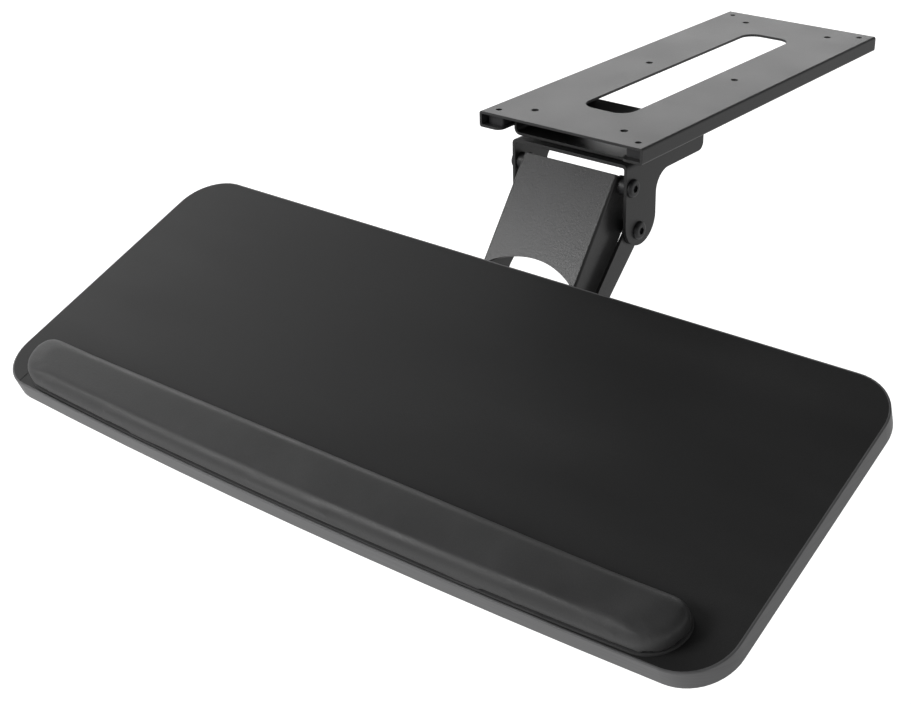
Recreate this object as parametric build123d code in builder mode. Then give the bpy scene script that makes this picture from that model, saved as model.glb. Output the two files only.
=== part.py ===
from build123d import *
import os
from math import atan2, cos, degrees, radians, sin

# An adjustable keyboard tray for under a desk.  A steel track screws to the
# desk's underside, a carriage slides in it, a swivel bracket turns under the
# carriage, two links lift a tilting head, and the head carries the tray.
# Millimetres.  The origin is the centre of the track's top face, which lies
# against the desk.  +X is the user's right, +Y points away from the user, +Z up.

RUNNING = 0.05                  # radial clearance of a turning fit
HAIR = 0.1                      # gap between faces of different bodies that rub
END_GAP = 0.3                   # gap at the end of a spacer, washer or clip

# ---------------------------------------------------------------- track
TRACK_WIDTH = 147.8
TRACK_LENGTH = 361.6
TRACK_DEPTH = 12.4
TRACK_SHEET = 2.0
TRACK_BEND = 1.9                # outside radius of the folds
LIP_INNER = 54.5                # from the centre line to the edge of a rail's lip
LIP_CORNER = 6.0
SLOT_HALF = 21.6
SLOT_FRONT = -125.0
SLOT_BACK = 127.6
SLOT_CORNER = 13.0
SCREW_X = 40.6
SCREW_Y = 155.1
SCREW_HOLE_R = 2.9
PEG_X = 63.3
PEG_Y = 170.3
PEG_HOLE_R = 2.4
STOP_WIDTH = 15.0
STOP_LENGTH = 9.0
STOP_CORNER = 1.5

# ---------------------------------------------------------------- carriage
CARRIAGE_FRONT = -165.6
CARRIAGE_BACK = -62.4
PAN_HALF = 52.5
PAN_SHEET = 2.0
PAN_BOTTOM = -18.2
PAN_BEND = 5.0
WING_HALF = 69.5
WING_TOP = -5.2
GLIDE_INNER = 56.0
GLIDE_OUTER = 71.2
GLIDE_TOP = -2.4
GLIDE_BOTTOM = -10.0
GLIDE_LENGTH = 25.0
GLIDE_CORNER = 2.0

# ---------------------------------------------------------------- swivel
SWIVEL_Y = -120.0
SWIVEL_BOLT_R = 6.0
BOLT_HEAD_R = 11.0
BOLT_HEAD_H = 3.5
BOLT_HEAD_ROUND = 1.5
BOLT_PAST_NUT = 1.0
DISC_R = 24.0
WASHER_R = 12.0
WASHER_H = 2.0
NUT_FLATS = 19.0
NUT_H = 9.0
NUT_CHAMFER = 0.8
BRACKET_HALF = 52.6
BRACKET_SHEET = 2.5
BRACKET_BEND = 4.0
BRACKET_TOP = -20.7
LEG_FOOT = (-148.3, -68.4)      # y, z of the centre of each leg's round foot
LEG_R = 19.8
ARM_LOW = -36.8                 # lower edge of the long arm of each side
ARM_BACK = -63.4
ARM_FILLET = 16.0
ARM_CORNER = 6.0

# ---------------------------------------------------------------- lift linkage
LINK_LENGTH = 110.0             # between the two pivots of each link
LINK_LEAN = 38.5                # degrees forward of straight down, at rest
UPPER_PIVOT = (-160.5, -40.0)   # y, z on the swivel bracket
LOWER_PIVOT = (-151.0, -76.0)
ROD_R = 5.0
PIVOT_SCREW_R = 4.0
PIVOT_SCREW_LENGTH = 14.0
SCREW_HEAD_R = 7.1
SCREW_HEAD_H = 3.0
SCREW_HEAD_ROUND = 2.6
SOCKET_R = 3.0
SOCKET_DEPTH = 2.1
UPPER_SPACER_R = 6.5
LOWER_WASHER_R = 9.0

UPPER_LINK_HALF = 43.0
UPPER_LINK_SHEET = 2.0
UPPER_LINK_BEND = 1.9
WEB_TOP = (-166.0, -30.2)       # y, z of the cover web's top front edge
WEB_LEAN = 36.25
FLANGE_DEEP = (16.0, 86.0, 33.0)  # from, to, depth behind the web's face
FLANGE_SHOULDER = 12.0
UPPER_BOSS_R = 7.5
HEAD_BOSS_R = 8.5
ARCH_APEX = 76.2                # from the web's top edge down to the arch
ARCH_R = 68.0

BAR_OUTER = 49.1                # outside face of each lower link bar
BAR_SHEET = 2.5
BAR_LEAN = 44.0                 # the bar leans more than its pivot line, down to its knee
BAR_KNEE = 55.0
BAR_TOP_R = 10.4
BAR_KNEE_R = 8.6
BAR_END_R = 8.5
STRAP_UP = 23.0                 # cross strap's centre, up from the lower pivot
STRAP_WIDTH = 14.0
OPEN_PIVOT = 0.3                # clearance at the pivot that closes the linkage
HEAD_WASHER_R = 8.0
CLIP_R = 7.5
CLIP_THICK = 1.6

# ---------------------------------------------------------------- tray
TRAY_TILT = 21.4                # degrees, front edge down
TRAY_CENTRE = (-355.4, -131.6)  # y, z of the centre of the top face
TRAY_WIDTH = 635.0
TRAY_DEPTH = 244.5
TRAY_BOW = 7.1                  # how far the front edge curves out
TRAY_THICK = 15.3
TRAY_CORNER = 35.0
LAMINATE = 0.8
BAND = 1.5
BAND_ROUND = 1.0

TILT_BACK = 100.0               # tilt axis, back from the tray's centre
TILT_DOWN = 35.3                # tilt axis, below the tray's top face
AXLE_R = 4.0
AXLE_HEAD_R = 8.0
AXLE_HEAD_H = 4.0
AXLE_HEAD_ROUND = 1.5
AXLE_WASHER_R = 9.0
AXLE_WASHER_THICK = 1.6
AXLE_SPACER_R = 6.5
FRICTION_R = 9.5
CHEEK_OUTER = 39.0
CHEEK_SHEET = 2.5
CHEEK_UPPER_R = 10.0
CHEEK_LOWER_R = 11.0
CHEEK_TILT_R = 13.5
EAR_OUTER = 33.7
EAR_SHEET = 2.5
EAR_R = 10.0
EAR_ROOT = 30.0                 # width of each ear where it leaves the plate
PLATE_WIDTH = 190.0
PLATE_LENGTH = 152.0
PLATE_CENTRE = 39.0
PLATE_SHEET = 2.0
PLATE_CORNER = 8.0
PLATE_LIP = 6.0
PLATE_LIP_SHORT = 30.0          # how much shorter each lip is than the plate
WOOD_SCREW_X = 84.0
WOOD_SCREW_PITCH = 55.0
WOOD_SCREW_R = 2.0
WOOD_SCREW_BITE = 9.5           # depth of the screws in the board
WOOD_SCREW_HEAD_R = 4.2
WOOD_SCREW_HEAD_H = 2.4

PAD_HALF = 289.0
PAD_BACK = -82.0
PAD_INSET = 1.7                 # from the tray's front edge
PAD_BASE = 2.0
PAD_SEAT = 0.2                  # how deep the backing sits in the laminate
PAD_SKIN_INSET = 0.6            # from the backing's edge to the cushion's
PAD_HEIGHT = 16.0
PAD_BACK_CORNER = 14.0
PAD_FRONT_CORNER = 26.0
PAD_ROUND = 6.0

KNOB_INNER = 54.6
KNOB_LENGTH = 22.0
KNOB_CORE_R = 12.5
KNOB_LOBE_R = 3.6
KNOB_LOBE_AT = 11.9
KNOB_LOBES = 7
KNOB_ROUND = 1.2
INSERT_R = 8.0
INSERT_END = 71.0
AXLE_END = 70.0

os.makedirs("parts", exist_ok=True)


def save(piece, name):
    piece.part.label = name
    export_step(piece.part, f"parts/{name}.step")


def down_link(start, lean, distance):
    """The point at a distance down a line that leans forward of straight down."""
    y = start[0] - distance * sin(radians(lean))
    z = start[1] - distance * cos(radians(lean))
    return (y, z)


def down_web(point):
    """A y, z point as distance down the web and depth behind its face."""
    dy = point[0] - WEB_TOP[0]
    dz = point[1] - WEB_TOP[1]
    lean = radians(WEB_LEAN)
    return (-dy * sin(lean) - dz * cos(lean), dy * cos(lean) - dz * sin(lean))


def rings(pivot, radius, bore, inner, outer):
    """A ring on each side of the centre line, round a pivot."""
    with BuildPart() as pair:
        with BuildSketch(Plane.YZ.offset(inner)):
            with Locations(pivot):
                Circle(radius)
                Circle(bore, mode=Mode.SUBTRACT)
        extrude(amount=outer - inner)
        mirror(about=Plane.YZ)
    return pair


def cross_rod(pivot, radius, left, right):
    """A plain round rod along X."""
    with BuildPart() as rod:
        with BuildSketch(Plane.YZ.offset(left)):
            with Locations(pivot):
                Circle(radius)
        extrude(amount=right - left)
    return rod


# The tray's pieces are drawn on its top face and on its side view.
tilt = radians(TRAY_TILT)
tray_top = Plane(origin=(0, *TRAY_CENTRE), x_dir=(1, 0, 0), z_dir=(0, -sin(tilt), cos(tilt)))
tray_side = Plane(origin=(0, *TRAY_CENTRE), x_dir=(0, cos(tilt), sin(tilt)), z_dir=(1, 0, 0))
across_tray = Axis((0, 0, 0), tray_top.y_dir)
off_tray = Axis((0, 0, 0), tray_top.z_dir)
tilt_in_tray = (TILT_BACK, -TILT_DOWN)
TILT_PIVOT = (
    TRAY_CENTRE[0] + TILT_BACK * cos(tilt) + TILT_DOWN * sin(tilt),
    TRAY_CENTRE[1] + TILT_BACK * sin(tilt) - TILT_DOWN * cos(tilt),
)
UPPER_HEAD = down_link(UPPER_PIVOT, LINK_LEAN, LINK_LENGTH)
LOWER_HEAD = down_link(LOWER_PIVOT, LINK_LEAN, LINK_LENGTH)

# ================================================================ track
RAIL_FLOOR = TRACK_SHEET - TRACK_DEPTH

with BuildPart() as track_rail:
    with BuildSketch(Plane.XZ) as track_section:
        with Locations((0, -TRACK_DEPTH / 2)):
            Rectangle(TRACK_WIDTH, TRACK_DEPTH)
        fillet(track_section.vertices(), TRACK_BEND)
        with Locations((0, -TRACK_DEPTH / 2)):
            inside_width = TRACK_WIDTH - 2 * TRACK_SHEET
            inside_depth = TRACK_DEPTH - 2 * TRACK_SHEET
            Rectangle(inside_width, inside_depth, mode=Mode.SUBTRACT)
        with Locations((0, -TRACK_DEPTH)):
            Rectangle(2 * LIP_INNER, 3 * TRACK_SHEET, mode=Mode.SUBTRACT)
    extrude(amount=TRACK_LENGTH / 2, both=True)
    upright_edges = track_rail.edges().filter_by(Axis.Z)
    fillet(upright_edges.filter_by(lambda edge: abs(abs(edge.center().X) - LIP_INNER) < 0.1), LIP_CORNER)
    with BuildSketch(Plane.XY):
        with Locations((0, (SLOT_FRONT + SLOT_BACK) / 2)):
            RectangleRounded(2 * SLOT_HALF, SLOT_BACK - SLOT_FRONT, SLOT_CORNER)
        with GridLocations(2 * SCREW_X, SCREW_Y, 2, 3):
            Circle(SCREW_HOLE_R)
        with GridLocations(2 * PEG_X, 2 * PEG_Y, 2, 2):
            Circle(PEG_HOLE_R)
    extrude(amount=-2 * TRACK_SHEET, mode=Mode.SUBTRACT)
save(track_rail, "track_rail")


def end_stops(at_y):
    """A moulded stop in each rail end, whose peg snaps up into a corner hole."""
    with BuildPart() as stops:
        with BuildSketch(Plane.XY.offset(RAIL_FLOOR)):
            with Locations((-PEG_X, at_y), (PEG_X, at_y)):
                RectangleRounded(STOP_WIDTH, STOP_LENGTH, STOP_CORNER)
        extrude(amount=-RAIL_FLOOR - TRACK_SHEET)
        with BuildSketch(Plane.XY.offset(-TRACK_SHEET)):
            with Locations((-PEG_X, at_y), (PEG_X, at_y)):
                Circle(PEG_HOLE_R - RUNNING)
        extrude(amount=TRACK_SHEET / 2)
    return stops


save(end_stops(-PEG_Y), "front_end_stops")
save(end_stops(PEG_Y), "back_end_stops")

# ================================================================ carriage
with BuildPart() as carriage_pan:
    with BuildSketch(Plane.XZ.offset(-CARRIAGE_FRONT)) as pan_section:
        with Locations((0, (WING_TOP + PAN_BOTTOM) / 2)):
            Rectangle(2 * PAN_HALF, WING_TOP - PAN_BOTTOM)
        fillet(pan_section.vertices().group_by(Axis.Y)[0], PAN_BEND)
        with Locations((0, WING_TOP - PAN_SHEET / 2)):
            Rectangle(2 * WING_HALF, PAN_SHEET)
        with Locations((0, PAN_BOTTOM + PAN_SHEET - PAN_BOTTOM / 2)):
            RectangleRounded(
                2 * (PAN_HALF - PAN_SHEET), -PAN_BOTTOM, PAN_BEND - PAN_SHEET, mode=Mode.SUBTRACT
            )
    extrude(amount=CARRIAGE_FRONT - CARRIAGE_BACK)
    with BuildSketch(Plane.XY.offset(PAN_BOTTOM)):
        with Locations((0, SWIVEL_Y)):
            Circle(SWIVEL_BOLT_R + RUNNING)
    extrude(amount=PAN_SHEET, mode=Mode.SUBTRACT)
save(carriage_pan, "carriage_pan")

with BuildPart() as carriage_glides:
    glide_x = (GLIDE_INNER + GLIDE_OUTER) / 2
    front_y = CARRIAGE_FRONT + GLIDE_LENGTH / 2
    back_y = CARRIAGE_BACK - GLIDE_LENGTH / 2
    with BuildSketch(Plane.XY.offset(GLIDE_BOTTOM)):
        with Locations((glide_x, front_y), (glide_x, back_y)):
            RectangleRounded(GLIDE_OUTER - GLIDE_INNER, GLIDE_LENGTH, GLIDE_CORNER)
    extrude(amount=GLIDE_TOP - GLIDE_BOTTOM)
    with BuildSketch(Plane.XY.offset(WING_TOP)):
        with Locations((WING_HALF / 2, (front_y + back_y) / 2)):
            Rectangle(WING_HALF, 2 * (back_y - front_y))
    extrude(amount=-PAN_SHEET, mode=Mode.SUBTRACT)
    mirror(about=Plane.YZ)
save(carriage_glides, "carriage_glides")

# ================================================================ swivel bolt
PLATE_UNDER = BRACKET_TOP - BRACKET_SHEET
NUT_TOP = PLATE_UNDER - HAIR - WASHER_H


def swivel_ring(bottom, height, radius, bore):
    """A ring round the swivel axis."""
    with BuildPart() as ring:
        with BuildSketch(Plane.XY.offset(bottom)):
            with Locations((0, SWIVEL_Y)):
                Circle(radius)
                Circle(bore, mode=Mode.SUBTRACT)
        extrude(amount=height)
    return ring


with BuildPart() as swivel_bolt:
    floor_z = PAN_BOTTOM + PAN_SHEET
    with BuildSketch(Plane.XY.offset(floor_z)):
        with Locations((0, SWIVEL_Y)):
            Circle(BOLT_HEAD_R)
    extrude(amount=BOLT_HEAD_H)
    fillet(swivel_bolt.edges().group_by(Axis.Z)[-1], BOLT_HEAD_ROUND)
    with BuildSketch(Plane.XY.offset(floor_z)):
        with Locations((0, SWIVEL_Y)):
            Circle(SWIVEL_BOLT_R)
    extrude(amount=NUT_TOP - NUT_H - BOLT_PAST_NUT - floor_z)
save(swivel_bolt, "swivel_bolt")

disc_bottom = BRACKET_TOP + HAIR
save(swivel_ring(disc_bottom, PAN_BOTTOM - disc_bottom, DISC_R, SWIVEL_BOLT_R + RUNNING), "swivel_disc")
save(swivel_ring(NUT_TOP, WASHER_H, WASHER_R, SWIVEL_BOLT_R + RUNNING), "swivel_washer")

with BuildPart() as swivel_nut:
    with BuildSketch(Plane.XY.offset(NUT_TOP)):
        with Locations((0, SWIVEL_Y)):
            RegularPolygon(NUT_FLATS / 2, 6, major_radius=False)
            Circle(SWIVEL_BOLT_R + RUNNING, mode=Mode.SUBTRACT)
    extrude(amount=-NUT_H)
    chamfer(swivel_nut.edges().filter_by(GeomType.LINE).group_by(Axis.Z)[0], NUT_CHAMFER)
save(swivel_nut, "swivel_nut")

# ================================================================ swivel bracket
INNER_HALF = BRACKET_HALF - BRACKET_SHEET

with BuildPart() as swivel_bracket:
    with BuildSketch(Plane.YZ):
        with BuildLine():
            leg_front = LEG_FOOT[0] - LEG_R
            leg_back = LEG_FOOT[0] + LEG_R
            Polyline((leg_front, LEG_FOOT[1]), (leg_front, BRACKET_TOP), (ARM_BACK, BRACKET_TOP),
                     (ARM_BACK, ARM_LOW + ARM_CORNER))
            RadiusArc((ARM_BACK, ARM_LOW + ARM_CORNER), (ARM_BACK - ARM_CORNER, ARM_LOW), ARM_CORNER)
            Line((ARM_BACK - ARM_CORNER, ARM_LOW), (leg_back + ARM_FILLET, ARM_LOW))
            RadiusArc((leg_back + ARM_FILLET, ARM_LOW), (leg_back, ARM_LOW - ARM_FILLET), -ARM_FILLET)
            Line((leg_back, ARM_LOW - ARM_FILLET), (leg_back, LEG_FOOT[1]))
            ThreePointArc((leg_back, LEG_FOOT[1]), (LEG_FOOT[0], LEG_FOOT[1] - LEG_R),
                          (leg_front, LEG_FOOT[1]))
        make_face()
    extrude(amount=BRACKET_HALF, both=True)
    folds = swivel_bracket.edges().filter_by(Axis.Y).group_by(Axis.Z)[-1]
    fillet(folds, BRACKET_BEND)
    with BuildSketch(Plane.XZ):
        with Locations((0, PLATE_UNDER - INNER_HALF)):
            RectangleRounded(2 * INNER_HALF, 2 * INNER_HALF, BRACKET_BEND - BRACKET_SHEET)
    extrude(amount=-2 * SWIVEL_Y, mode=Mode.SUBTRACT)
    with BuildSketch(Plane.YZ):
        with Locations(UPPER_PIVOT, LOWER_PIVOT):
            Circle(PIVOT_SCREW_R + RUNNING)
    extrude(amount=BRACKET_HALF, both=True, mode=Mode.SUBTRACT)
    with BuildSketch(Plane.XY.offset(BRACKET_TOP)):
        with Locations((0, SWIVEL_Y)):
            Circle(SWIVEL_BOLT_R + RUNNING)
    extrude(amount=-BRACKET_SHEET, mode=Mode.SUBTRACT)
save(swivel_bracket, "swivel_bracket")


# Each pivot is a rod between the bracket's sides, held by a domed screw at each end.
def pivot_rod(pivot):
    with BuildPart() as rod:
        with BuildSketch(Plane.YZ):
            with Locations(pivot):
                Circle(ROD_R)
        extrude(amount=INNER_HALF - HAIR, both=True)
        for side in (-1, 1):
            with BuildSketch(Plane.YZ.offset(side * (INNER_HALF - HAIR))):
                with Locations(pivot):
                    Circle(PIVOT_SCREW_R)
            extrude(amount=-side * PIVOT_SCREW_LENGTH, mode=Mode.SUBTRACT)
    return rod


def pivot_screws(pivot):
    with BuildPart() as screws:
        with BuildSketch(Plane.YZ.offset(BRACKET_HALF)):
            with Locations(pivot):
                Circle(SCREW_HEAD_R)
        extrude(amount=SCREW_HEAD_H)
        fillet(screws.edges().group_by(Axis.X)[-1], SCREW_HEAD_ROUND)
        with BuildSketch(Plane.YZ.offset(BRACKET_HALF + SCREW_HEAD_H)):
            with Locations(pivot):
                RegularPolygon(SOCKET_R, 6)
        extrude(amount=-SOCKET_DEPTH, mode=Mode.SUBTRACT)
        with BuildSketch(Plane.YZ.offset(BRACKET_HALF)):
            with Locations(pivot):
                Circle(PIVOT_SCREW_R - RUNNING)
        extrude(amount=-PIVOT_SCREW_LENGTH)
        mirror(about=Plane.YZ)
    return screws


save(pivot_rod(UPPER_PIVOT), "upper_pivot_rod")
save(pivot_rod(LOWER_PIVOT), "lower_pivot_rod")
save(pivot_screws(UPPER_PIVOT), "upper_pivot_screws")
save(pivot_screws(LOWER_PIVOT), "lower_pivot_screws")
ROD_BORE = ROD_R + RUNNING
rod_end = INNER_HALF - HAIR
upper_spacers = rings(UPPER_PIVOT, UPPER_SPACER_R, ROD_BORE, UPPER_LINK_HALF + END_GAP, rod_end)
lower_washers = rings(LOWER_PIVOT, LOWER_WASHER_R, ROD_BORE, BAR_OUTER + HAIR, rod_end)
save(upper_spacers, "upper_pivot_spacers")
save(lower_washers, "lower_pivot_washers")

# ================================================================ upper link
# A channel: its web is the cover that faces the user, its flanges hold the pivots.
lean = radians(WEB_LEAN)
web_side = Plane(origin=(0, *WEB_TOP), x_dir=(0, -sin(lean), -cos(lean)), z_dir=(1, 0, 0))
web_face = Plane(origin=(0, *WEB_TOP), x_dir=(1, 0, 0), z_dir=(0, -cos(lean), sin(lean)))
web_upper = down_web(UPPER_PIVOT)
web_head = down_web(UPPER_HEAD)
web_inner_half = UPPER_LINK_HALF - UPPER_LINK_SHEET

with BuildPart() as upper_link:
    with BuildSketch(web_side):
        deep_from, deep_to, depth = FLANGE_DEEP
        with BuildLine():
            Polyline(
                (0, 0), (web_head[0], 0), (web_head[0], web_head[1] + HEAD_BOSS_R),
                (deep_to, depth), (deep_from, depth), (0, FLANGE_SHOULDER), close=True,
            )
        make_face()
    extrude(amount=UPPER_LINK_HALF, both=True)
    face_edges = upper_link.edges().filter_by(Axis((0, 0, 0), web_side.x_dir))
    outer_folds = face_edges.filter_by(
        lambda edge: abs(down_web((edge.center().Y, edge.center().Z))[1]) < 0.1
    )
    fillet(outer_folds, UPPER_LINK_BEND)
    with BuildSketch(web_side):
        with Locations(web_upper):
            Circle(UPPER_BOSS_R)
        with Locations(web_head):
            Circle(HEAD_BOSS_R)
    extrude(amount=UPPER_LINK_HALF, both=True)
    with BuildSketch(web_side):
        with Locations((web_head[0] / 2, UPPER_LINK_SHEET)):
            Rectangle(2 * web_head[0], 2 * depth, align=(Align.CENTER, Align.MIN))
        with Locations((0, UPPER_LINK_SHEET)):
            Rectangle(2 * UPPER_BOSS_R, 2 * UPPER_BOSS_R, align=(Align.MAX, Align.CENTER))
    extrude(amount=web_inner_half, both=True, mode=Mode.SUBTRACT)
    with BuildSketch(web_face):
        with Locations((0, -ARCH_APEX - ARCH_R)):
            Circle(ARCH_R)
            Rectangle(2 * web_inner_half, 2 * ARCH_R, mode=Mode.INTERSECT)
    extrude(amount=depth, both=True, mode=Mode.SUBTRACT)
    with BuildSketch(web_side):
        with Locations(web_upper, web_head):
            Circle(ROD_BORE)
    extrude(amount=UPPER_LINK_HALF, both=True, mode=Mode.SUBTRACT)
save(upper_link, "upper_link")

# ================================================================ lower link
# Two bars and a cross strap.  The bars clear their end rods by more than a
# running fit at the head, where the linkage closes.
knee = down_link(LOWER_PIVOT, BAR_LEAN, BAR_KNEE)
end_angle = atan2(knee[1] - LOWER_HEAD[1], knee[0] - LOWER_HEAD[0])
strap_centre = (
    LOWER_HEAD[0] + STRAP_UP * cos(end_angle),
    LOWER_HEAD[1] + STRAP_UP * sin(end_angle),
)

with BuildPart() as lower_link:
    bar_inner = BAR_OUTER - BAR_SHEET
    for near, near_r, far, far_r in (
        (LOWER_PIVOT, BAR_TOP_R, knee, BAR_KNEE_R),
        (knee, BAR_KNEE_R, LOWER_HEAD, BAR_END_R),
    ):
        with BuildSketch(Plane.YZ.offset(bar_inner)):
            with Locations(near):
                Circle(near_r)
            with Locations(far):
                Circle(far_r)
            make_hull()
        extrude(amount=BAR_SHEET)
    with BuildSketch(Plane.YZ.offset(bar_inner)):
        with Locations(LOWER_PIVOT):
            Circle(ROD_BORE)
        with Locations(LOWER_HEAD):
            Circle(ROD_R + OPEN_PIVOT)
    extrude(amount=BAR_SHEET, mode=Mode.SUBTRACT)
    mirror(about=Plane.YZ)
    with BuildSketch(Plane.YZ):
        with Locations(strap_centre):
            Rectangle(STRAP_WIDTH, BAR_SHEET, rotation=degrees(end_angle))
    extrude(amount=BAR_OUTER, both=True)
save(lower_link, "lower_link")

# ================================================================ tilting head
with BuildPart() as tilt_head:
    with BuildSketch(Plane.YZ):
        with Locations(UPPER_HEAD):
            Circle(CHEEK_UPPER_R)
        with Locations(LOWER_HEAD):
            Circle(CHEEK_LOWER_R)
        with Locations(TILT_PIVOT):
            Circle(CHEEK_TILT_R)
        make_hull()
    extrude(amount=CHEEK_OUTER, both=True)
    # The space between the cheeks leaves only a strip from the tilt axis to the lower rod.
    with BuildSketch(Plane.YZ):
        with Locations(TILT_PIVOT):
            Circle(CHEEK_TILT_R - CHEEK_SHEET)
        with Locations(LOWER_HEAD):
            Circle(CHEEK_LOWER_R - CHEEK_SHEET)
        with Locations((TILT_PIVOT[0] - 4 * EAR_R, TILT_PIVOT[1] + 4 * EAR_R)):
            Circle(EAR_R)
        with Locations((UPPER_HEAD[0] + 4 * EAR_R, UPPER_HEAD[1] + EAR_R)):
            Circle(4 * EAR_R)
        make_hull()
    extrude(amount=CHEEK_OUTER - CHEEK_SHEET, both=True, mode=Mode.SUBTRACT)
    with BuildSketch(Plane.YZ):
        with Locations(UPPER_HEAD, LOWER_HEAD):
            Circle(ROD_BORE)
        with Locations(TILT_PIVOT):
            Circle(AXLE_R + RUNNING)
    extrude(amount=CHEEK_OUTER, both=True, mode=Mode.SUBTRACT)
save(tilt_head, "tilt_head")

upper_clip_inner = UPPER_LINK_HALF + END_GAP
lower_clip_inner = BAR_OUTER + END_GAP
upper_rod_half = upper_clip_inner + CLIP_THICK
lower_rod_half = lower_clip_inner + CLIP_THICK
save(cross_rod(UPPER_HEAD, ROD_R, -upper_rod_half, upper_rod_half), "upper_head_rod")
save(cross_rod(LOWER_HEAD, ROD_R, -lower_rod_half, lower_rod_half), "lower_head_rod")
save(rings(UPPER_HEAD, CLIP_R, ROD_R, upper_clip_inner, upper_rod_half), "upper_rod_clips")
save(rings(LOWER_HEAD, CLIP_R, ROD_R, lower_clip_inner, lower_rod_half), "lower_rod_clips")
upper_washers = rings(UPPER_HEAD, HEAD_WASHER_R, ROD_BORE, CHEEK_OUTER, web_inner_half - END_GAP)
lower_spacers = rings(LOWER_HEAD, HEAD_WASHER_R, ROD_BORE, CHEEK_OUTER, bar_inner - END_GAP)
save(upper_washers, "upper_head_washers")
save(lower_spacers, "lower_head_spacers")

# ================================================================ tilt clamp
AXLE_BORE = AXLE_R + RUNNING
cheek_inner = CHEEK_OUTER - CHEEK_SHEET
save(rings(TILT_PIVOT, FRICTION_R, AXLE_BORE, EAR_OUTER + HAIR, cheek_inner), "friction_discs")

with BuildPart() as tilt_axle:
    axle_head = CHEEK_OUTER + AXLE_WASHER_THICK
    with BuildSketch(Plane.YZ.offset(-axle_head)):
        with Locations(TILT_PIVOT):
            Circle(AXLE_HEAD_R)
    extrude(amount=-AXLE_HEAD_H)
    fillet(tilt_axle.edges().group_by(Axis.X)[0], AXLE_HEAD_ROUND)
    with BuildSketch(Plane.YZ.offset(-axle_head)):
        with Locations(TILT_PIVOT):
            Circle(AXLE_R)
    extrude(amount=axle_head + AXLE_END)
save(tilt_axle, "tilt_axle")

with BuildPart() as tilt_washer:
    with BuildSketch(Plane.YZ.offset(-axle_head)):
        with Locations(TILT_PIVOT):
            Circle(AXLE_WASHER_R)
            Circle(AXLE_BORE, mode=Mode.SUBTRACT)
    extrude(amount=AXLE_WASHER_THICK)
save(tilt_washer, "tilt_washer")

with BuildPart() as tilt_spacer:
    with BuildSketch(Plane.YZ.offset(CHEEK_OUTER)):
        with Locations(TILT_PIVOT):
            Circle(AXLE_SPACER_R)
            Circle(AXLE_BORE, mode=Mode.SUBTRACT)
    extrude(amount=KNOB_INNER - END_GAP - CHEEK_OUTER)
save(tilt_spacer, "tilt_spacer")

with BuildPart() as tilt_knob:
    with BuildSketch(Plane.YZ.offset(KNOB_INNER)):
        with Locations(TILT_PIVOT):
            Circle(KNOB_CORE_R)
            with PolarLocations(KNOB_LOBE_AT, KNOB_LOBES):
                Circle(KNOB_LOBE_R)
    extrude(amount=KNOB_LENGTH)
    fillet(tilt_knob.edges().group_by(Axis.X)[-1], KNOB_ROUND)
    with BuildSketch(Plane.YZ.offset(KNOB_INNER)):
        with Locations(TILT_PIVOT):
            Circle(INSERT_R)
    extrude(amount=INSERT_END - KNOB_INNER, mode=Mode.SUBTRACT)
save(tilt_knob, "tilt_knob")

with BuildPart() as knob_insert:
    with BuildSketch(Plane.YZ.offset(KNOB_INNER)):
        with Locations(TILT_PIVOT):
            Circle(INSERT_R)
            Circle(AXLE_BORE, mode=Mode.SUBTRACT)
    extrude(amount=INSERT_END - KNOB_INNER)
save(knob_insert, "knob_insert")

# ================================================================ tray bracket
with BuildPart() as tray_bracket:
    with BuildSketch(tray_top.offset(-TRAY_THICK)):
        with Locations((0, PLATE_CENTRE)):
            RectangleRounded(PLATE_WIDTH, PLATE_LENGTH, PLATE_CORNER)
        with Locations((0, PLATE_CENTRE)):
            with GridLocations(2 * WOOD_SCREW_X, WOOD_SCREW_PITCH, 2, 3):
                Circle(WOOD_SCREW_R + RUNNING, mode=Mode.SUBTRACT)
    extrude(amount=-PLATE_SHEET)
    with BuildSketch(tray_top.offset(-TRAY_THICK)):
        with Locations((0, PLATE_CENTRE)):
            with GridLocations(PLATE_WIDTH - PLATE_SHEET, 0, 2, 1):
                Rectangle(PLATE_SHEET, PLATE_LENGTH - PLATE_LIP_SHORT)
    extrude(amount=-PLATE_LIP)
    for side in (-1, 1):
        with BuildSketch(tray_side.offset(side * EAR_OUTER)):
            with Locations((TILT_BACK, -TRAY_THICK - PLATE_SHEET / 2)):
                Rectangle(EAR_ROOT, PLATE_SHEET)
            with Locations(tilt_in_tray):
                Circle(EAR_R)
            make_hull()
            with Locations(tilt_in_tray):
                Circle(AXLE_BORE, mode=Mode.SUBTRACT)
        extrude(amount=-side * EAR_SHEET)
save(tray_bracket, "tray_bracket")

with BuildPart() as tray_screws:
    with BuildSketch(tray_top.offset(-TRAY_THICK - PLATE_SHEET)):
        with Locations((0, PLATE_CENTRE)):
            with GridLocations(2 * WOOD_SCREW_X, WOOD_SCREW_PITCH, 2, 3):
                Circle(WOOD_SCREW_HEAD_R)
    extrude(amount=-WOOD_SCREW_HEAD_H)
    with BuildSketch(tray_top.offset(-TRAY_THICK - PLATE_SHEET)):
        with Locations((0, PLATE_CENTRE)):
            with GridLocations(2 * WOOD_SCREW_X, WOOD_SCREW_PITCH, 2, 3):
                Circle(WOOD_SCREW_R)
    extrude(amount=PLATE_SHEET + WOOD_SCREW_BITE)
save(tray_screws, "tray_screws")


# ================================================================ tray board
def tray_outline(inset):
    """The tray's plan: a rectangle with a bowed front and round corners, shrunk by an inset."""
    half = TRAY_WIDTH / 2 - inset
    back = TRAY_DEPTH / 2 - inset
    with BuildSketch(mode=Mode.PRIVATE) as outline:
        with BuildLine():
            Polyline((half, -back), (half, back), (-half, back), (-half, -back))
            ThreePointArc((-half, -back), (0, -back - TRAY_BOW), (half, -back))
        make_face()
        fillet(outline.vertices(), TRAY_CORNER - inset)
    return outline.sketch


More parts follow.
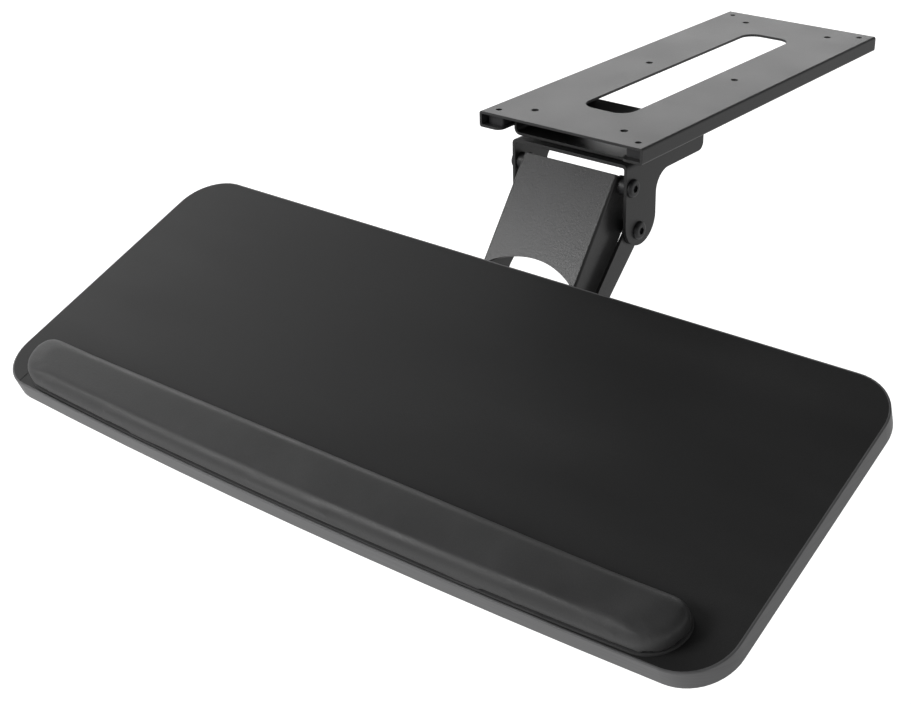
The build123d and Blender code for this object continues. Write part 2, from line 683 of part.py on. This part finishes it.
with BuildPart() as tray_board:
    with BuildSketch(tray_top.offset(-LAMINATE)):
        add(tray_outline(BAND))
    extrude(amount=LAMINATE - TRAY_THICK)
    with BuildSketch(tray_top.offset(-TRAY_THICK)):
        with Locations((0, PLATE_CENTRE)):
            with GridLocations(2 * WOOD_SCREW_X, WOOD_SCREW_PITCH, 2, 3):
                Circle(WOOD_SCREW_R + RUNNING)
    extrude(amount=WOOD_SCREW_BITE + RUNNING, mode=Mode.SUBTRACT)
save(tray_board, "tray_board")

with BuildPart() as edge_band:
    with BuildSketch(tray_top):
        add(tray_outline(0))
    extrude(amount=-TRAY_THICK)
    band_rims = edge_band.faces().sort_by(off_tray)
    fillet(band_rims[-1].edges() + band_rims[0].edges(), BAND_ROUND)
    with BuildSketch(tray_top):
        add(tray_outline(BAND))
    extrude(amount=-TRAY_THICK, mode=Mode.SUBTRACT)
save(edge_band, "edge_band")


# ================================================================ wrist pad and its seat
def pad_layer(bottom, top, inset):
    """A slab of the pad: straight at the back, following the tray's bowed front."""
    half = PAD_HALF - inset
    back = PAD_BACK - inset
    front = -TRAY_DEPTH / 2 + PAD_INSET + inset
    with BuildPart() as layer:
        with BuildSketch(tray_top.offset(bottom)):
            with BuildLine():
                Polyline((half, front), (half, back), (-half, back), (-half, front))
                ThreePointArc((-half, front), (0, front - TRAY_BOW), (half, front))
            make_face()
        extrude(amount=top - bottom)
        corners = layer.edges().filter_by(off_tray).sort_by(across_tray)
        fillet(corners[:2], PAD_FRONT_CORNER - inset)
        corners = layer.edges().filter_by(off_tray).sort_by(across_tray)
        fillet(corners[-2:], PAD_BACK_CORNER - inset)
    return layer


# The seat is open towards the tray's front edge, so no thin strip is left there.
with BuildPart() as tray_laminate:
    with BuildSketch(tray_top):
        add(tray_outline(BAND))
    extrude(amount=-LAMINATE)
    with BuildSketch(tray_top) as pad_seat:
        with Locations((0, PAD_BACK)):
            Rectangle(2 * PAD_HALF, TRAY_DEPTH / 2, align=(Align.CENTER, Align.MAX))
        fillet(pad_seat.vertices().sort_by(Axis.Y)[-2:], PAD_BACK_CORNER)
    extrude(amount=-PAD_SEAT, mode=Mode.SUBTRACT)
save(tray_laminate, "tray_laminate")

save(pad_layer(-PAD_SEAT, PAD_BASE, 0), "wrist_pad_base")

wrist_pad_cushion = pad_layer(PAD_BASE, PAD_HEIGHT, PAD_SKIN_INSET)
with wrist_pad_cushion:
    fillet(wrist_pad_cushion.faces().sort_by(off_tray)[-1].edges(), PAD_ROUND)
save(wrist_pad_cushion, "wrist_pad_cushion")
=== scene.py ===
"""Camera, light, materials and the soft wrist pad of the adjustable keyboard tray.

Metres, in the frame of the CAD model: the origin is the centre of the track's top
face, +X the user's right, +Y away from the user, +Z up.
"""
import math

import bpy
from mathutils import Matrix, Vector


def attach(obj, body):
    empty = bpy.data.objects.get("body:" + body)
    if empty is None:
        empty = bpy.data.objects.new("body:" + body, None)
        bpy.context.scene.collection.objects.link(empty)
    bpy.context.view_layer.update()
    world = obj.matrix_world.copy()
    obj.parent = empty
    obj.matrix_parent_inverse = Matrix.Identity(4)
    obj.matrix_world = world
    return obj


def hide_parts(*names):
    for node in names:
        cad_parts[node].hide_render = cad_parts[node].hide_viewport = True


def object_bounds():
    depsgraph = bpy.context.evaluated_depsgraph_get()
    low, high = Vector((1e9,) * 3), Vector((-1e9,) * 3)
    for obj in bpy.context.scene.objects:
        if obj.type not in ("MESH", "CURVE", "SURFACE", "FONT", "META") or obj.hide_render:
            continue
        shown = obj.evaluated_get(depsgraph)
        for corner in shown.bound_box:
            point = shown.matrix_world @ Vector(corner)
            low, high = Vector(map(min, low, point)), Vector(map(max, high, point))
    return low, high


FLOOR_DROP = 0.45               # floor below the lowest point of the object
FLOOR_SIZE = 30.0
FLOOR_GLOW = 0.95               # the floor is lit from below, like a photographer's table
WORLD_STOPS = [                 # brightness from straight down (0) to straight up (1)
    (0.0, 0.75),
    (0.44, 0.70),
    (0.5, 0.80),
    (0.56, 0.60),
    (0.7, 0.25),
    (0.85, 0.12),
    (1.0, 0.10),
]
WORLD_LEFT = 1.15               # share of that brightness on the left
WORLD_RIGHT = 0.75
LIGHTS = {                      # place, target, size and power of each soft box
    "back_box": ((-1.9, 2.2, 1.1), (0.0, -0.1, -0.05), (2.8, 1.4), 22.0),
    "left_box": ((-2.4, 0.1, 1.0), (-0.1, -0.3, -0.1), (1.4, 1.2), 10.0),
    "front_box": ((-1.3, -1.95, 1.0), (0.0, -0.2, -0.08), (1.0, 0.8), 22.0),
}

CAMERA_PLACE = (0.6565, -1.0653, 0.3711)
CAMERA_AXES = (                 # right, up and back, as rows
    (0.79834, 0.60220, -0.00336),
    (-0.27806, 0.37356, 0.88495),
    (0.53417, -0.70556, 0.46568),
)
CAMERA_LENS = 62.26
CAMERA_SHIFT = (-0.0979, 0.0331)

TRAY_TILT = math.radians(21.4)
TRAY_CENTRE = Vector((0.0, -0.3554, -0.1316))   # middle of the tray's top face
TRAY_SLOPE = Vector((0.0, math.cos(TRAY_TILT), math.sin(TRAY_TILT)))
TRAY_OUT = Vector((0.0, -math.sin(TRAY_TILT), math.cos(TRAY_TILT)))
PAD_BASE = 0.002                # height of the pad's backing above the tray
PAD_VOXEL = 0.0025
PAD_PRESSURE = 3.0
PAD_FRAMES = 20
PAD_RELAX = 5                   # smoothing steps of the filled skin
PAD_GLUED = 0.005               # the skin below this height does not move
PAD_SWELL = 0.0010              # furthest the skin may move as the pad fills

EDGE_ROUND = 0.0005             # shading radius of cut sheet edges
SMALL_EDGE_ROUND = 0.0003       # and of screws, rods and washers


# ---------------------------------------------------------------- camera
def make_camera():
    """The viewpoint: in front and to the right of the tray, looking down on it."""
    data = bpy.data.cameras.new("camera")
    data.sensor_width = 36.0
    data.lens = CAMERA_LENS
    data.shift_x, data.shift_y = CAMERA_SHIFT
    camera = bpy.data.objects.new("camera", data)
    turn = Matrix(CAMERA_AXES).transposed().to_4x4()
    camera.matrix_world = Matrix.Translation(CAMERA_PLACE) @ turn
    bpy.context.collection.objects.link(camera)
    bpy.context.scene.camera = camera


# ---------------------------------------------------------------- light and floor
def make_area_light(name, place, target, size, power):
    """A soft box at place that faces target."""
    data = bpy.data.lights.new(name, "AREA")
    data.shape = "RECTANGLE"
    data.size, data.size_y = size
    data.energy = power
    light = bpy.data.objects.new(name, data)
    light.location = place
    light.rotation_euler = (Vector(target) - Vector(place)).to_track_quat("-Z", "Y").to_euler()
    light.visible_camera = False
    bpy.context.collection.objects.link(light)


def make_world():
    """A studio that is brightest near the horizon and to the left, and dark overhead.

    Behind the floor's far edge its backdrop is plain white.
    """
    world = bpy.data.worlds.new("studio")
    world.use_nodes = True
    tree = world.node_tree
    background = tree.nodes["Background"]
    coords = tree.nodes.new("ShaderNodeTexCoord")
    split = tree.nodes.new("ShaderNodeSeparateXYZ")
    tree.links.new(coords.outputs["Generated"], split.inputs[0])
    height = tree.nodes.new("ShaderNodeMapRange")
    height.inputs["From Min"].default_value = -1.0
    tree.links.new(split.outputs["Z"], height.inputs["Value"])
    ramp = tree.nodes.new("ShaderNodeValToRGB")
    tree.links.new(height.outputs["Result"], ramp.inputs["Fac"])
    tree.links.new(ramp.outputs["Color"], background.inputs["Color"])
    set_ramp(ramp, WORLD_STOPS)
    side = tree.nodes.new("ShaderNodeMapRange")
    side.inputs["From Min"].default_value = -1.0
    side.inputs["To Min"].default_value = WORLD_LEFT
    side.inputs["To Max"].default_value = WORLD_RIGHT
    tree.links.new(split.outputs["X"], side.inputs["Value"])
    tree.links.new(side.outputs["Result"], background.inputs["Strength"])
    backdrop = tree.nodes.new("ShaderNodeBackground")
    backdrop.inputs["Color"].default_value = (1.0, 1.0, 1.0, 1.0)
    rays = tree.nodes.new("ShaderNodeLightPath")
    mix = tree.nodes.new("ShaderNodeMixShader")
    tree.links.new(rays.outputs["Is Camera Ray"], mix.inputs["Fac"])
    tree.links.new(background.outputs[0], mix.inputs[1])
    tree.links.new(backdrop.outputs[0], mix.inputs[2])
    tree.links.new(mix.outputs[0], tree.nodes["World Output"].inputs["Surface"])
    bpy.context.scene.world = world


def make_floor(height):
    """A plain white floor, seen only from above so that views from below stay open.

    It is a backdrop: the light that reaches the object from below is the world's.
    """
    bpy.ops.mesh.primitive_plane_add(size=FLOOR_SIZE, location=(0, 0, height))
    floor = bpy.context.object
    floor.name = "floor"
    material = bpy.data.materials.new("floor_white")
    material.use_nodes = True
    tree = material.node_tree
    shader = tree.nodes["Principled BSDF"]
    shader.inputs["Base Color"].default_value = (0.5, 0.5, 0.5, 1.0)
    shader.inputs["Roughness"].default_value = 0.9
    shader.inputs["Emission Color"].default_value = (1.0, 1.0, 1.0, 1.0)
    shader.inputs["Emission Strength"].default_value = FLOOR_GLOW
    geometry = tree.nodes.new("ShaderNodeNewGeometry")
    clear = tree.nodes.new("ShaderNodeBsdfTransparent")
    mix = tree.nodes.new("ShaderNodeMixShader")
    tree.links.new(geometry.outputs["Backfacing"], mix.inputs["Fac"])
    tree.links.new(shader.outputs[0], mix.inputs[1])
    tree.links.new(clear.outputs[0], mix.inputs[2])
    tree.links.new(mix.outputs[0], tree.nodes["Material Output"].inputs["Surface"])
    floor.data.materials.append(material)
    floor.visible_diffuse = False
    floor.visible_glossy = False


# ---------------------------------------------------------------- material helpers
def set_ramp(ramp, stops):
    """Sets a colour ramp's stops, each a position with a grey value or a colour."""
    elements = ramp.color_ramp.elements
    while len(elements) > 1:
        elements.remove(elements[-1])
    for index, (position, value) in enumerate(stops):
        element = elements[0] if index == 0 else elements.new(position)
        element.position = position
        colour = (value,) * 3 if isinstance(value, float) else value
        element.color = (*colour, 1.0)


class Look:
    """A material under construction: a principled shader with noise, colour and bump."""

    def __init__(self, name, roughness, metallic=0.0, specular=0.5):
        self.material = bpy.data.materials.new(name)
        self.material.use_nodes = True
        self.tree = self.material.node_tree
        self.shader = self.tree.nodes["Principled BSDF"]
        self.shader.inputs["Roughness"].default_value = roughness
        self.shader.inputs["Metallic"].default_value = metallic
        self.shader.inputs["Specular IOR Level"].default_value = specular
        self.coords = self.tree.nodes.new("ShaderNodeTexCoord").outputs["Object"]
        self.normal = None

    def link(self, source, target):
        self.tree.links.new(source, target)

    def stretched(self, scale):
        """The object's coordinates, scaled by a different amount along each axis."""
        mapping = self.tree.nodes.new("ShaderNodeMapping")
        mapping.inputs["Scale"].default_value = scale
        self.link(self.coords, mapping.inputs["Vector"])
        return mapping.outputs["Vector"]

    def noise(self, size, detail=2.0, coords=None):
        """Cloudy noise whose blobs are about size metres across, as a 0 to 1 output."""
        node = self.tree.nodes.new("ShaderNodeTexNoise")
        node.inputs["Scale"].default_value = 1.0 / size
        node.inputs["Detail"].default_value = detail
        self.link(coords or self.coords, node.inputs["Vector"])
        return node.outputs["Fac"]

    def cells(self, size, feature="F1"):
        """Round cells about size metres across; the output is distance within a cell."""
        node = self.tree.nodes.new("ShaderNodeTexVoronoi")
        node.feature = feature
        node.inputs["Scale"].default_value = 1.0 / size
        self.link(self.coords, node.inputs["Vector"])
        return node.outputs["Distance"]

    def mixed(self, first, second, share):
        """A weighted mean of two grey outputs."""
        node = self.tree.nodes.new("ShaderNodeMix")
        node.inputs["Factor"].default_value = share
        self.link(first, node.inputs["A"])
        self.link(second, node.inputs["B"])
        return node.outputs["Result"]

    def ramp(self, source, stops):
        node = self.tree.nodes.new("ShaderNodeValToRGB")
        set_ramp(node, stops)
        self.link(source, node.inputs["Fac"])
        return node.outputs["Color"]

    def spread(self, source, low, high):
        """Maps a 0.3 to 0.7 noise output to low to high."""
        node = self.tree.nodes.new("ShaderNodeMapRange")
        node.inputs["From Min"].default_value = 0.3
        node.inputs["From Max"].default_value = 0.7
        node.inputs["To Min"].default_value = low
        node.inputs["To Max"].default_value = high
        self.link(source, node.inputs["Value"])
        return node.outputs["Result"]

    def soft_edges(self, radius):
        """Rounds sharp edges in the shading, so that cut sheet edges catch the light."""
        node = self.tree.nodes.new("ShaderNodeBevel")
        node.samples = 4
        node.inputs["Radius"].default_value = radius
        self.normal = node.outputs["Normal"]

    def bump(self, height, depth, strength=1.0):
        """Raises the surface by height times depth metres."""
        node = self.tree.nodes.new("ShaderNodeBump")
        node.inputs["Strength"].default_value = strength
        node.inputs["Distance"].default_value = depth
        self.link(height, node.inputs["Height"])
        if self.normal:
            self.link(self.normal, node.inputs["Normal"])
        self.normal = node.outputs["Normal"]

    def done(self, colour, roughness=None):
        self.link(colour, self.shader.inputs["Base Color"])
        if roughness:
            self.link(roughness, self.shader.inputs["Roughness"])
        if self.normal:
            self.link(self.normal, self.shader.inputs["Normal"])
        return self.material


# ---------------------------------------------------------------- materials
def powder_coat(name, tone, roughness):
    """Satin black powder coat on steel: orange peel, fine speckle and slight patchiness."""
    look = Look(name, roughness)
    look.soft_edges(EDGE_ROUND)
    peel = look.noise(0.0016, 2.0)
    grit = look.noise(0.0004, 1.0)
    look.bump(peel, 0.00012, 0.5)
    look.bump(grit, 0.00004, 0.4)
    patches = look.noise(0.06, 3.0)
    speckled = look.mixed(patches, grit, 0.45)
    dark = tuple(0.75 * part for part in tone)
    light = tuple(1.3 * part for part in tone)
    colour = look.ramp(speckled, [(0.3, dark), (0.55, tone), (0.75, light)])
    return look.done(colour, look.spread(patches, roughness - 0.02, roughness + 0.03))


def tray_top_laminate():
    """Black laminate with a fine pebble texture and faint long wiping marks."""
    look = Look("tray_top_laminate", 0.5, specular=0.42)
    pebble = look.cells(0.0011)
    fine = look.noise(0.00045, 1.0)
    look.bump(pebble, 0.00006, 0.45)
    look.bump(fine, 0.00003, 0.35)
    wiped = look.noise(0.05, 3.0, look.stretched((0.25, 1.0, 1.0)))
    speckled = look.mixed(wiped, fine, 0.5)
    colour = look.ramp(speckled, [
        (0.30, (0.0135, 0.0135, 0.0137)),
        (0.55, (0.0200, 0.0200, 0.0202)),
        (0.72, (0.0300, 0.0300, 0.0302)),
    ])
    return look.done(colour, look.spread(wiped, 0.46, 0.56))


def edge_banding_painted_light():
    """Extruded plastic edging: long fine drawing lines and a dull gloss; its grey is partly
    painted light, made paler than its own grey to stand in for light reflected up from below.
    """
    look = Look("edge_banding_painted_light", 0.42)
    drawn = look.noise(0.0012, 2.0, look.stretched((0.02, 0.02, 1.0)))
    grain = look.noise(0.0009, 2.0)
    look.bump(drawn, 0.00005, 0.4)
    look.bump(grain, 0.00003, 0.4)
    patches = look.noise(0.045, 3.0)
    # painted light: these grey stops are paler than the edging's own grey, standing in for
    # light from below; the patches and drawing lines are its own
    colour = look.ramp(look.mixed(patches, drawn, 0.4), [
        (0.30, (0.115, 0.115, 0.117)),
        (0.60, (0.160, 0.160, 0.163)),
        (0.75, (0.195, 0.196, 0.200)),
    ])
    return look.done(colour, look.spread(patches, 0.36, 0.5))


def dyed_fibreboard():
    """The sealed underside of the board: charcoal fibreboard with fibre flecks."""
    look = Look("dyed_fibreboard", 0.72, specular=0.3)
    fibres = look.noise(0.0022, 5.0, look.stretched((0.35, 1.0, 1.0)))
    dust = look.noise(0.0006, 2.0)
    look.bump(fibres, 0.00012, 0.5)
    look.bump(dust, 0.00005, 0.5)
    colour = look.ramp(look.mixed(fibres, dust, 0.35), [
        (0.30, (0.022, 0.019, 0.017)),
        (0.52, (0.040, 0.035, 0.031)),
        (0.70, (0.085, 0.072, 0.060)),
    ])
    return look.done(colour, look.spread(fibres, 0.62, 0.8))


def plated_steel():
    """Bright zinc plating with cloudy passivation and faint turning marks."""
    look = Look("zinc_plated_steel", 0.34, metallic=1.0)
    look.soft_edges(SMALL_EDGE_ROUND)
    clouds = look.noise(0.004, 4.0)
    scratches = look.noise(0.0006, 3.0, look.stretched((1.0, 0.12, 1.0)))
    look.bump(scratches, 0.00002, 0.4)
    colour = look.ramp(clouds, [
        (0.30, (0.42, 0.43, 0.45)),
        (0.55, (0.56, 0.56, 0.56)),
        (0.72, (0.66, 0.63, 0.56)),
    ])
    return look.done(colour, look.spread(look.mixed(clouds, scratches, 0.4), 0.26, 0.44))


def black_oxide():
    """Blackened screw heads: dark, slightly oily, with rubbed high spots."""
    look = Look("black_oxide_screw", 0.36)
    look.soft_edges(SMALL_EDGE_ROUND)
    rubbed = look.noise(0.0018, 4.0)
    look.bump(look.noise(0.0005, 2.0), 0.00003, 0.5)
    colour = look.ramp(rubbed, [
        (0.35, (0.010, 0.010, 0.011)),
        (0.60, (0.020, 0.020, 0.022)),
        (0.78, (0.060, 0.059, 0.057)),
    ])
    return look.done(colour, look.spread(rubbed, 0.28, 0.46))


def black_nylon():
    """Moulded nylon: waxy, with a spark-eroded surface."""
    look = Look("black_nylon", 0.48)
    look.shader.inputs["Subsurface Weight"].default_value = 0.02
    erosion = look.noise(0.0007, 3.0)
    look.bump(erosion, 0.00006, 0.5)
    colour = look.ramp(look.mixed(look.noise(0.01, 2.0), erosion, 0.4), [
        (0.3, (0.016, 0.016, 0.017)),
        (0.7, (0.034, 0.034, 0.036)),
    ])
    return look.done(colour, look.spread(erosion, 0.42, 0.56))


def knob_plastic():
    """Moulded knob plastic with a leathered grip texture."""
    look = Look("knob_plastic", 0.45)
    leather = look.cells(0.0009, "SMOOTH_F1")
    look.bump(leather, 0.00012, 0.5)
    handled = look.noise(0.012, 3.0)
    colour = look.ramp(look.mixed(handled, leather, 0.35), [
        (0.25, (0.014, 0.014, 0.015)),
        (0.70, (0.034, 0.034, 0.035)),
    ])
    return look.done(colour, look.spread(handled, 0.36, 0.54))


def turned_brass():
    """A brass insert with turning rings and a light tarnish."""
    look = Look("turned_brass", 0.3, metallic=1.0)
    tarnish = look.noise(0.002, 4.0)
    rings = look.noise(0.0003, 1.0, look.stretched((1.0, 0.2, 0.2)))
    look.bump(rings, 0.00002, 0.5)
    colour = look.ramp(tarnish, [
        (0.35, (0.42, 0.29, 0.11)),
        (0.65, (0.72, 0.53, 0.22)),
    ])
    return look.done(colour, look.spread(tarnish, 0.24, 0.42))


def pad_backing_painted_light():
    """The pad's thin rubber backing: matt, with a fine slip-resistant tooth; its grey is
    painted light, paler than the rubber's own to lift the shaded strip under the cushion's
    edge.
    """
    look = Look("pad_backing_painted_light", 0.6, specular=0.4)
    tooth = look.noise(0.0008, 2.0)
    look.bump(tooth, 0.00008, 0.6)
    # painted light: these grey stops are paler than the rubber's own, to lighten the strip of
    # backing that lies in shade between cushion and tray
    colour = look.ramp(look.mixed(look.noise(0.02, 2.0), tooth, 0.5), [
        (0.3, (0.040, 0.040, 0.040)),
        (0.7, (0.075, 0.075, 0.076)),
    ])
    return look.done(colour, look.spread(tooth, 0.52, 0.68))


def pad_skin():
    """Soft leatherette: fine pores and creases, rubbed paler in patches, a faint sheen."""
    look = Look("pad_leatherette", 0.5, specular=0.45)
    look.shader.inputs["Sheen Weight"].default_value = 0.06
    look.shader.inputs["Sheen Roughness"].default_value = 0.5
    pores = look.cells(0.0012, "SMOOTH_F1")
    creases = look.noise(0.0065, 3.0, look.stretched((0.45, 1.0, 1.0)))
    fine = look.noise(0.0005, 2.0)
    look.bump(creases, 0.00022, 0.35)
    look.bump(pores, 0.00010, 0.5)
    look.bump(fine, 0.00003, 0.4)
    rubbed = look.noise(0.035, 4.0)
    colour = look.ramp(look.mixed(rubbed, fine, 0.35), [
        (0.30, (0.036, 0.036, 0.0365)),
        (0.55, (0.049, 0.049, 0.0495)),
        (0.75, (0.066, 0.066, 0.0662)),
    ])
    return look.done(colour, look.spread(look.mixed(rubbed, pores, 0.3), 0.42, 0.58))


# ---------------------------------------------------------------- wrist pad
def tray_local(point):
    """A point in the tray's own frame: across, up the slope, above the top face."""
    away = Vector(point) - TRAY_CENTRE
    return Vector((away.x, away.dot(TRAY_SLOPE), away.dot(TRAY_OUT)))


def apply_modifiers(obj):
    """Replaces the object's mesh by what its modifiers make of it."""
    graph = bpy.context.evaluated_depsgraph_get()
    made = bpy.data.meshes.new_from_object(obj.evaluated_get(graph))
    obj.modifiers.clear()
    obj.data = made


def swell(pad):
    """Fills the pad like an air cushion: glued at its foot, free to bulge above."""
    start = [vertex.co.copy() for vertex in pad.data.vertices]
    glued = [index for index, home in enumerate(start) if tray_local(home).z < PAD_GLUED]
    pad.vertex_groups.new(name="glued").add(glued, 1.0, "REPLACE")
    cloth = pad.modifiers.new("fill", "CLOTH")
    cloth.settings.vertex_group_mass = "glued"
    cloth.settings.use_pressure = True
    cloth.settings.uniform_pressure_force = PAD_PRESSURE
    cloth.settings.effector_weights.gravity = 0.0
    cloth.point_cache.frame_start = 1
    cloth.point_cache.frame_end = PAD_FRAMES
    scene = bpy.context.scene
    for frame_number in range(1, PAD_FRAMES + 1):
        scene.frame_set(frame_number)
    apply_modifiers(pad)
    scene.frame_set(1)
    for vertex, home in zip(pad.data.vertices, start):
        move = vertex.co - home
        if move.length > PAD_SWELL:
            vertex.co = home + move * (PAD_SWELL / move.length)


def relax_skin(pad):
    """Evens out the filled skin and puts its foot back on the CAD outline."""
    relax = pad.modifiers.new("relax", "SMOOTH")
    relax.vertex_group = "glued"
    relax.invert_vertex_group = True
    relax.factor = 0.5
    relax.iterations = PAD_RELAX
    foot = pad.modifiers.new("foot", "SHRINKWRAP")
    foot.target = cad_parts["wrist_pad_cushion"]
    foot.vertex_group = "glued"
    apply_modifiers(pad)


def rest_on_backing(pad):
    """Puts the pad's lowest points, and whatever sank below them, on the backing."""
    for vertex in pad.data.vertices:
        height = tray_local(vertex.co).z
        if height < PAD_BASE + PAD_VOXEL / 2:
            vertex.co += TRAY_OUT * (PAD_BASE - height)


def make_wrist_pad(material):
    """The soft bar along the tray's front edge, grown from its CAD solid."""
    pad = bpy.data.objects.new("wrist_pad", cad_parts["wrist_pad_cushion"].data.copy())
    bpy.context.collection.objects.link(pad)
    remesh = pad.modifiers.new("even_mesh", "REMESH")
    remesh.mode = "VOXEL"
    remesh.voxel_size = PAD_VOXEL
    smooth = pad.modifiers.new("even_out", "SMOOTH")
    smooth.factor = 0.5
    smooth.iterations = 1
    apply_modifiers(pad)
    swell(pad)
    relax_skin(pad)
    rest_on_backing(pad)
    finer = pad.modifiers.new("finer", "SUBSURF")
    finer.levels = 1
    finer.render_levels = 1
    apply_modifiers(pad)
    pad.data.materials.clear()
    pad.data.materials.append(material)
    for polygon in pad.data.polygons:
        polygon.use_smooth = True
    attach(pad, "tray")
    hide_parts("wrist_pad_cushion")


# ---------------------------------------------------------------- the scene
def dress_nodes(material, names):
    """Gives the CAD nodes a material."""
    for name in names:
        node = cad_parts[name]
        node.data.materials.clear()
        node.data.materials.append(material)


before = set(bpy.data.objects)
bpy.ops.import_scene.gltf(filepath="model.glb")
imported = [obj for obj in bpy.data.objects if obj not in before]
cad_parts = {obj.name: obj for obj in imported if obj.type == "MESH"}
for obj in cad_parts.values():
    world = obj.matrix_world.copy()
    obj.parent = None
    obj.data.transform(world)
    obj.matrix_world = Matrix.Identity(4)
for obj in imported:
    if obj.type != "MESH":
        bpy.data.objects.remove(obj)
cad_low, cad_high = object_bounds()
bpy.context.scene.view_settings.view_transform = "Standard"

make_camera()
make_world()
make_floor(cad_low.z - FLOOR_DROP)
for name, (place, target, size, power) in LIGHTS.items():
    make_area_light(name, place, target, size, power)

dress_nodes(powder_coat("track_coat", (0.036, 0.036, 0.0365), 0.40), ["track_rail"])
# painted shade: the carriage's coat is darker than the same powder coat on the rail and
# brackets, standing in for the shade inside the rail
dress_nodes(powder_coat("carriage_coat_painted_shade", (0.012, 0.012, 0.0122), 0.42), ["carriage_pan"])
dress_nodes(
    powder_coat("bracket_coat", (0.030, 0.030, 0.0305), 0.40),
    ["swivel_bracket", "tilt_head", "tray_bracket"],
)
dress_nodes(
    powder_coat("link_coat", (0.036, 0.036, 0.0365), 0.30),
    ["upper_link", "lower_link"],
)
dress_nodes(plated_steel(), [
    "swivel_bolt", "swivel_washer", "swivel_nut", "upper_head_rod", "lower_head_rod",
    "upper_rod_clips", "lower_rod_clips", "tilt_axle", "tilt_washer", "tray_screws",
])
dress_nodes(black_oxide(), [
    "upper_pivot_screws", "lower_pivot_screws", "upper_pivot_rod", "lower_pivot_rod",
])
dress_nodes(black_nylon(), [
    "front_end_stops", "back_end_stops", "carriage_glides", "swivel_disc",
    "upper_pivot_spacers", "lower_pivot_washers", "upper_head_washers",
    "lower_head_spacers", "friction_discs", "tilt_spacer",
])
dress_nodes(dyed_fibreboard(), ["tray_board"])
dress_nodes(tray_top_laminate(), ["tray_laminate"])
dress_nodes(edge_banding_painted_light(), ["edge_band"])
dress_nodes(pad_backing_painted_light(), ["wrist_pad_base"])
dress_nodes(knob_plastic(), ["tilt_knob"])
dress_nodes(turned_brass(), ["knob_insert"])
make_wrist_pad(pad_skin())
